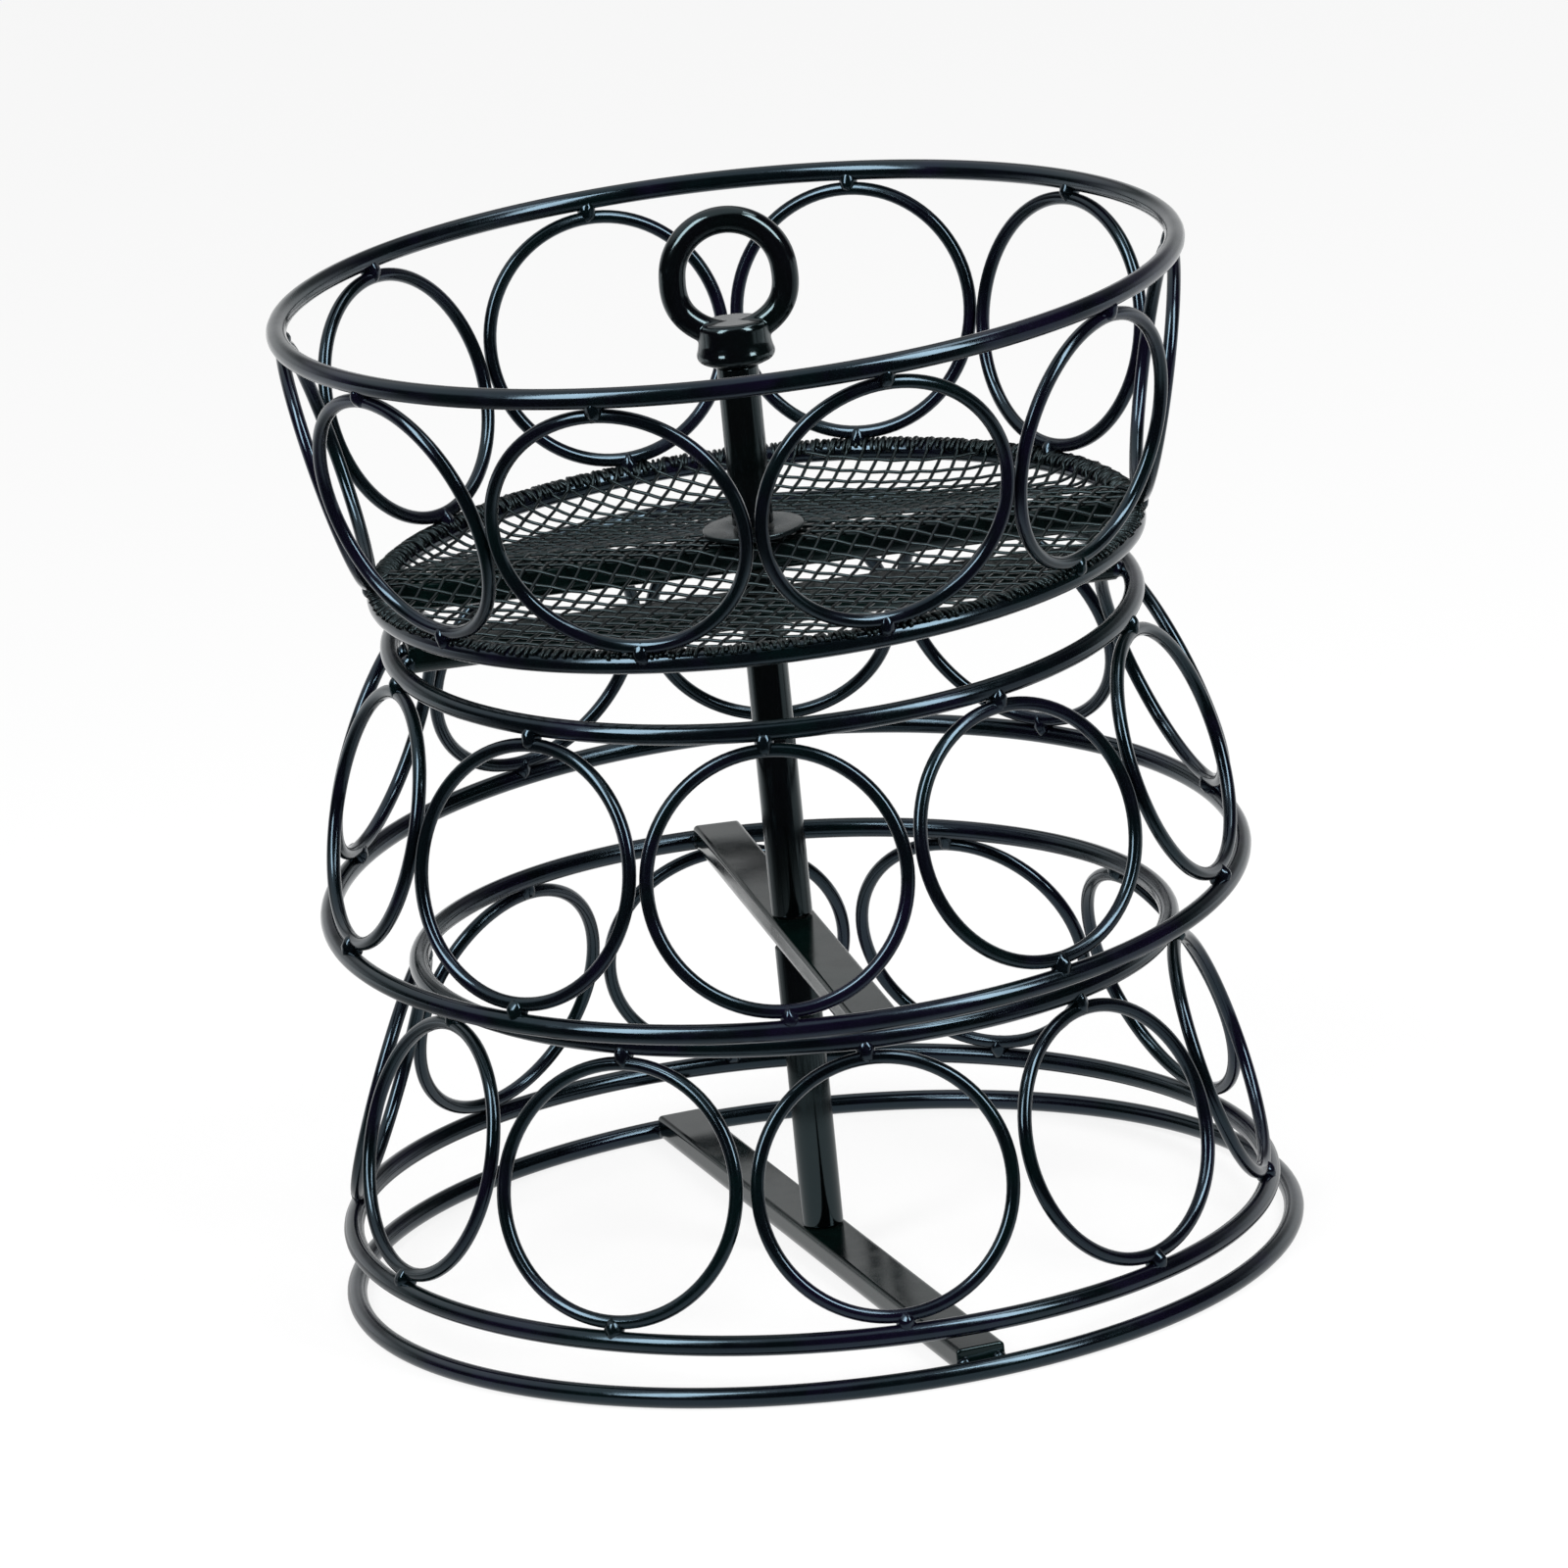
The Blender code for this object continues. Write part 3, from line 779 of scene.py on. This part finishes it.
def strand_end(floor, u, v, direction, rng, reach):
    """Points of a strand's fold up and over the ring, from where it meets it."""
    azimuth = math.atan2(v, u)
    radial = direction.x * math.cos(azimuth) + direction.y * math.sin(azimuth)
    tangential = -direction.x * math.sin(azimuth) + direction.y * math.cos(azimuth)
    drift = max(-MOST_DRIFT, min(MOST_DRIFT, tangential / max(abs(radial), LEAST_RADIAL)))
    start = HEM_START + (HEM_START_OVER_BAR - HEM_START) * floor.over_bar(v)
    end = HEM_END + rng.uniform(*HEM_END_SPREAD)
    points = []
    for step in range(1, HEM_STEPS + 1):
        share = step / HEM_STEPS
        angle = start + (end - start) * share
        turn = drift * reach * (start - angle) * STRAND_DRIFT / floor.ring.radius
        rough_reach = reach * (1 + HEM_ROUGHNESS * rng.uniform(-1, 1))
        points.append(floor.hem(azimuth + turn, angle, rough_reach))
    if rng.random() < BURR_SHARE:
        points.append(points[-1] + floor.ring.axis * rng.uniform(*BURR_LENGTH))
    return points


def make_net(ring, along):
    """The basket's floor: two crossing families of strands, folded round the ring and bound."""
    floor = Floor(ring, along)
    rng = random.Random(NET_SEED)
    bm = bmesh.new()
    half = NET_STRAND / 2
    for family in range(2):
        turn = NET_TURN + family * math.pi / 2
        direction = Vector((math.cos(turn), math.sin(turn)))
        normal = Vector((-direction.y, direction.x))
        rows = int(floor.edge / NET_PITCH)
        for row in range(-rows, rows + 1):
            offset = row * NET_PITCH + rng.uniform(-NET_WANDER, NET_WANDER)
            if abs(offset) > floor.edge - NET_EDGE_MARGIN:
                continue
            limit = math.sqrt(floor.edge**2 - offset**2)
            steps = int(limit / (NET_PITCH / 2))
            places = [-limit] + [step * NET_PITCH / 2 for step in range(-steps, steps + 1)] + [limit]
            path = []
            for index, along_strand in enumerate(places):
                point = direction * along_strand + normal * offset
                cross = round(along_strand / (NET_PITCH / 2))
                weave = 0.0
                if cross % 2 == 0 and 0 < index < len(places) - 1:
                    weave = NET_WEAVE if (cross // 2 + row + family) % 2 else -NET_WEAVE
                path.append(floor.place(point.x, point.y, weave))
            first = normal * offset - direction * limit
            last = normal * offset + direction * limit
            head = strand_end(floor, first.x, first.y, -direction, rng, HEM_REACH)
            tail_reach = HEM_REACH + NET_STRAND * TAIL_LIFT
            tail = strand_end(floor, last.x, last.y, direction, rng, tail_reach)
            sweep(bm, list(reversed(head)) + path + tail, half, NET_SIDES)
    for index in range(HEM_BINDINGS):
        stagger = rng.uniform(-BINDING_STAGGER, BINDING_STAGGER)
        azimuth = 2 * math.pi * (index + stagger) / HEM_BINDINGS
        slant = rng.choice((-1, 1)) * rng.uniform(*BINDING_SLANT)
        start, end = rng.uniform(*BINDING_START), rng.uniform(*BINDING_END)
        reach = HEM_REACH + rng.uniform(0.0, BINDING_LIFT)
        path = []
        for step in range(HEM_STEPS + 1):
            share = step / HEM_STEPS
            path.append(floor.hem(azimuth + slant * (share - 0.5), start + (end - start) * share, reach))
        sweep(bm, path, half, NET_SIDES)
    obj = new_object("basket_mesh_weave", bm, "basket", MESH_FINISH)
    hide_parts("basket_mesh")


# Stage


def make_camera():
    """The camera at the photograph's viewing angle, rolled as the photograph is."""
    camera = bpy.data.objects.new("camera", bpy.data.cameras.new("camera"))
    bpy.context.scene.collection.objects.link(camera)
    camera.data.lens = CAMERA_LENS
    camera.data.sensor_width = CAMERA_SENSOR
    camera.data.clip_end = 20.0
    back = Vector((0.0, -math.cos(CAMERA_ELEVATION), math.sin(CAMERA_ELEVATION)))
    level = Vector((1.0, 0.0, 0.0))
    rise = back.cross(level)
    right = level * math.cos(CAMERA_ROLL) + rise * math.sin(CAMERA_ROLL)
    top = back.cross(right)
    turn = Matrix((right, top, back)).transposed().to_4x4()
    camera.matrix_world = Matrix.Translation(CAMERA_TARGET + back * CAMERA_DISTANCE) @ turn
    bpy.context.scene.camera = camera


def make_floor():
    """A pale floor that looks white and keeps the object's shadow."""
    bm = bmesh.new()
    bmesh.ops.create_grid(bm, x_segments=8, y_segments=8, size=FLOOR_HALF_SIZE)
    mesh = bpy.data.meshes.new("floor")
    bm.to_mesh(mesh)
    bm.free()
    floor = bpy.data.objects.new("floor", mesh)
    bpy.context.scene.collection.objects.link(floor)
    material = bpy.data.materials.new("pale_floor")
    material.use_nodes = True
    nodes = Tree(material.node_tree)
    nodes.tree.nodes.clear()
    rays = nodes.add("ShaderNodeLightPath").outputs
    direct = nodes.combine("MAXIMUM", rays["Is Camera Ray"], rays["Is Glossy Ray"])
    direct = nodes.combine("MAXIMUM", direct, rays["Is Transmission Ray"])
    own_light = nodes.span(rays["Is Glossy Ray"], 0.0, 1.0, FLOOR_OWN_LIGHT, 1.0)
    surface = nodes.add("ShaderNodeBsdfDiffuse")
    surface.inputs["Color"].default_value = FLOOR_COLOUR
    glow = nodes.add("ShaderNodeEmission")
    # Painted light: the floor's glow as gloss sees it, a painted pool round the object and painted
    # dimness in front
    nodes.link(painted_floor_glow(nodes, rays["Is Glossy Ray"]), glow.inputs["Strength"])
    share = nodes.combine("MULTIPLY", direct, own_light)
    out = nodes.add("ShaderNodeOutputMaterial")
    nodes.link(nodes.mix(share, surface.outputs[0], glow.outputs[0]), out.inputs["Surface"])
    mesh.materials.append(material)


def painted_floor_glow(nodes, is_glossy):
    """Floor glow: white as seen; in gloss a painted pool of light under the object, painted light behind
    and to the right, and painted dimness in front.
    """
    place = nodes.add("ShaderNodeNewGeometry").outputs["Position"]
    axes = nodes.split(place)
    near = nodes.soft_span(nodes.measure("DISTANCE", place, FLOOR_CENTRE), FLOOR_NEAR)
    behind = nodes.soft_span(axes["Y"], FLOOR_BEHIND)
    toward_camera = nodes.combine("MULTIPLY", axes["Y"], -1.0)
    right = nodes.soft_span(nodes.combine("ARCTAN2", axes["X"], toward_camera), FLOOR_RIGHT)
    brightness = nodes.soft_span(is_glossy, (0.0, 1.0, 1.0, 0.0))
    for part in (near, behind, right):
        brightness = nodes.combine("MAXIMUM", brightness, part)
    return brightness


def make_world():
    """White where it is seen, a plain grey level as light, and a dark studio front."""
    world = bpy.data.worlds.new("studio")
    bpy.context.scene.world = world
    world.use_nodes = True
    nodes = Tree(world.node_tree)
    nodes.tree.nodes.clear()
    way = nodes.add("ShaderNodeTexCoord").outputs["Generated"]
    axes = nodes.split(way)
    behind = nodes.soft_span(axes["Y"], STUDIO_BEHIND)
    lower = nodes.soft_span(axes["Z"], STUDIO_LOWER)
    overhead = nodes.soft_span(nodes.measure("DOT_PRODUCT", way, OVERHEAD_WAY), OVERHEAD)
    mirrored = nodes.combine("MAXIMUM", nodes.combine("MULTIPLY", behind, lower), overhead)
    rays = nodes.add("ShaderNodeLightPath").outputs
    plain = nodes.add("ShaderNodeBackground")
    plain.inputs["Strength"].default_value = STUDIO_LIGHT
    seen = nodes.add("ShaderNodeBackground")
    seen.inputs["Strength"].default_value = 1.0
    reflected = nodes.add("ShaderNodeBackground")
    nodes.link(mirrored, reflected.inputs["Strength"])
    unseen = nodes.mix(rays["Is Glossy Ray"], plain.outputs[0], reflected.outputs[0])
    white = nodes.combine("MAXIMUM", rays["Is Camera Ray"], rays["Is Transmission Ray"])
    out = nodes.add("ShaderNodeOutputWorld")
    nodes.link(nodes.mix(white, unseen, seen.outputs[0]), out.inputs["Surface"])


def make_lamp(name, azimuth, elevation, width, height, brightness):
    """A softbox. Azimuth 0 is the camera's side, elevation is above the floor."""
    lamp = bpy.data.lights.new(name, "AREA")
    lamp.shape = "RECTANGLE"
    lamp.size = width
    lamp.size_y = height
    lamp.energy = brightness * math.pi * width * height
    obj = bpy.data.objects.new(name, lamp)
    bpy.context.scene.collection.objects.link(obj)
    azimuth, elevation = math.radians(azimuth), math.radians(elevation)
    way = Vector((
        math.sin(azimuth) * math.cos(elevation),
        -math.cos(azimuth) * math.cos(elevation),
        math.sin(elevation),
    ))
    obj.location = LAMP_AIM + way * LAMP_DISTANCE
    obj.rotation_euler = way.to_track_quat("Z", "Y").to_euler()


make_camera()
make_world()
make_floor()
for lamp_name, settings in LAMPS.items():
    make_lamp(lamp_name, *settings)

make_hoop(
    "base_ring", "base", RING_WIRE, RING_SEGMENTS, RING_SIDES,
    lift=RING_WIRE / 2 * (1 - math.cos(math.pi / 6)), shrink=FLAT_RELIEF,
)
make_bar("base_bar", "base", UP)
for tier, (bottom_node, top_node) in TIERS.items():
    bottom_ring, top_ring = make_tier(tier, bottom_node, top_node)
    bar_way = make_bar(tier + "_bar", tier, top_ring.axis)
    if tier == "basket":
        make_net(bottom_ring, bar_way)
        make_washer(bottom_ring.axis)
for tube in ("lower_tube", "middle_tube", "short_spacer", "upper_tube"):
    make_tube(tube)
make_handle()
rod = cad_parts["central_rod"]
rod.data.materials.clear()
rod.data.materials.append(ZINC_FINISH)

bpy.context.scene.view_settings.view_transform = "Standard"
